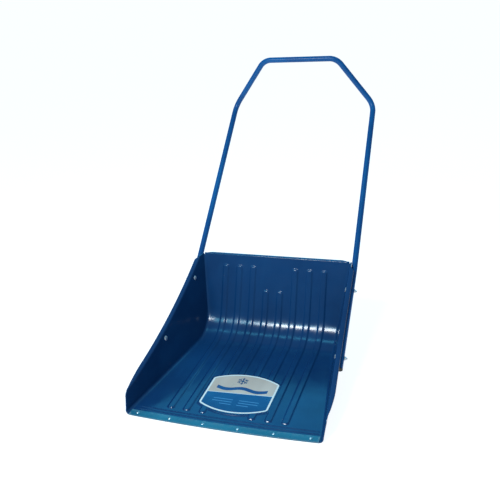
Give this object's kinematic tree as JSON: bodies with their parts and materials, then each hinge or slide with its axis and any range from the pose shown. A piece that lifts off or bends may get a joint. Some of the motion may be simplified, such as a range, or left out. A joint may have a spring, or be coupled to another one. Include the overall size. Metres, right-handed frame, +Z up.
{
  "type": "snow shovel",
  "caption": "Sleigh snow shovel with a wide moulded plastic scoop, open at the front, a steel-edged lip and a bent tube push handle bolted to its side walls.",
  "frame": {"origin": "on the ground, under the middle of the scoop's flat floor", "axes": "+Z up, +Y from the open front lip towards the handle, X across the scoop"},
  "size_m": [0.7026, 1.23, 0.9698],
  "materials": {
    "scoop_plastic": "dark blue moulded polyethylene, glossy, lightly scuffed",
    "handle_paint": "blue powder-coated steel tube",
    "strip_steel": "blue-green coated steel strip",
    "label_film": "printed film label, silver and blue",
    "rivet_metal": "domed aluminium rivets",
    "zinc_steel": "zinc-plated steel",
    "plug_plastic": "black moulded plastic"
  },
  "bodies": {
    "root": {"scoop": "scoop_plastic", "handle_tube": "handle_paint", "wear_strip": "strip_steel", "label": "label_film", "rivet_1": "rivet_metal", "rivet_2": "rivet_metal", "rivet_3": "rivet_metal", "rivet_4": "rivet_metal", "rivet_5": "rivet_metal", "rivet_6": "rivet_metal", "bolt_front_left": "zinc_steel", "bolt_front_right": "zinc_steel", "bolt_rear_left": "zinc_steel", "bolt_rear_right": "zinc_steel", "washer_front_left": "zinc_steel", "washer_front_right": "zinc_steel", "washer_rear_left": "zinc_steel", "washer_rear_right": "zinc_steel", "nut_front_left": "zinc_steel", "nut_front_right": "zinc_steel", "nut_rear_left": "zinc_steel", "nut_rear_right": "zinc_steel", "tube_plug_left": "plug_plastic", "tube_plug_right": "plug_plastic"}
  },
  "joints": []
}
